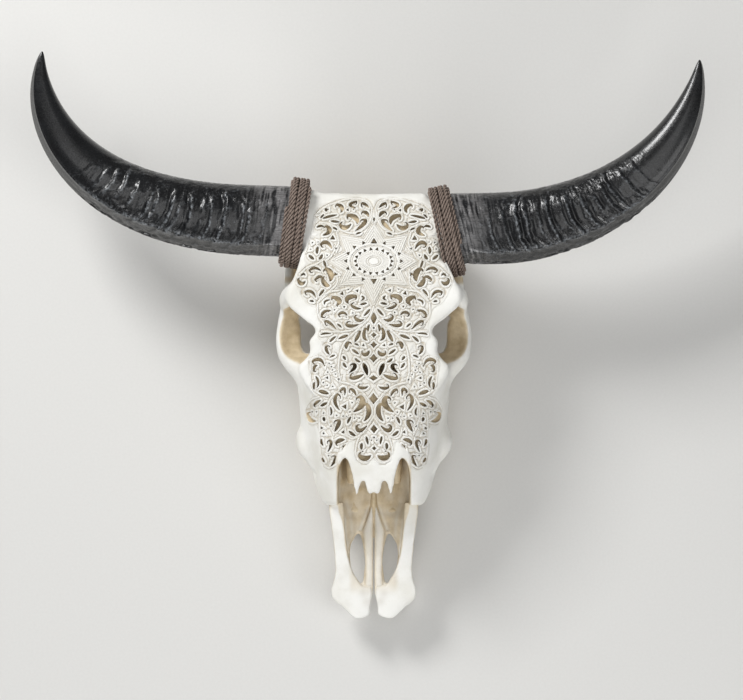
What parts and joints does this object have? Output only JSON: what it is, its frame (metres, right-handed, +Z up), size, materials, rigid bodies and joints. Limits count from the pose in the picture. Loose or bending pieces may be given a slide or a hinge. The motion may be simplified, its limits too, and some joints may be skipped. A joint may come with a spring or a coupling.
{
  "type": "carved cow skull",
  "caption": "Horned cattle skull without its lower jaw, the face pierced with leafy scrolls round a star, and cord bound at the horn roots.",
  "frame": {"origin": "middle of the footprint, on the surface that the skull lies on", "axes": "+X across the horns towards the animal's left, +Y from the nose towards the poll, +Z up out of the forehead"},
  "size_m": [0.7906, 0.6642, 0.1878],
  "materials": {
    "bone": "bleached dry bone, matt",
    "horn": "black horn, polished between its ridges",
    "cord": "twisted brown twine"
  },
  "bodies": {
    "root": {"cranium": "bone", "premaxilla_left": "bone", "premaxilla_right": "bone", "horn_left": "horn", "horn_right": "horn", "cord_binding_left": "cord", "cord_binding_right": "cord"}
  },
  "joints": []
}
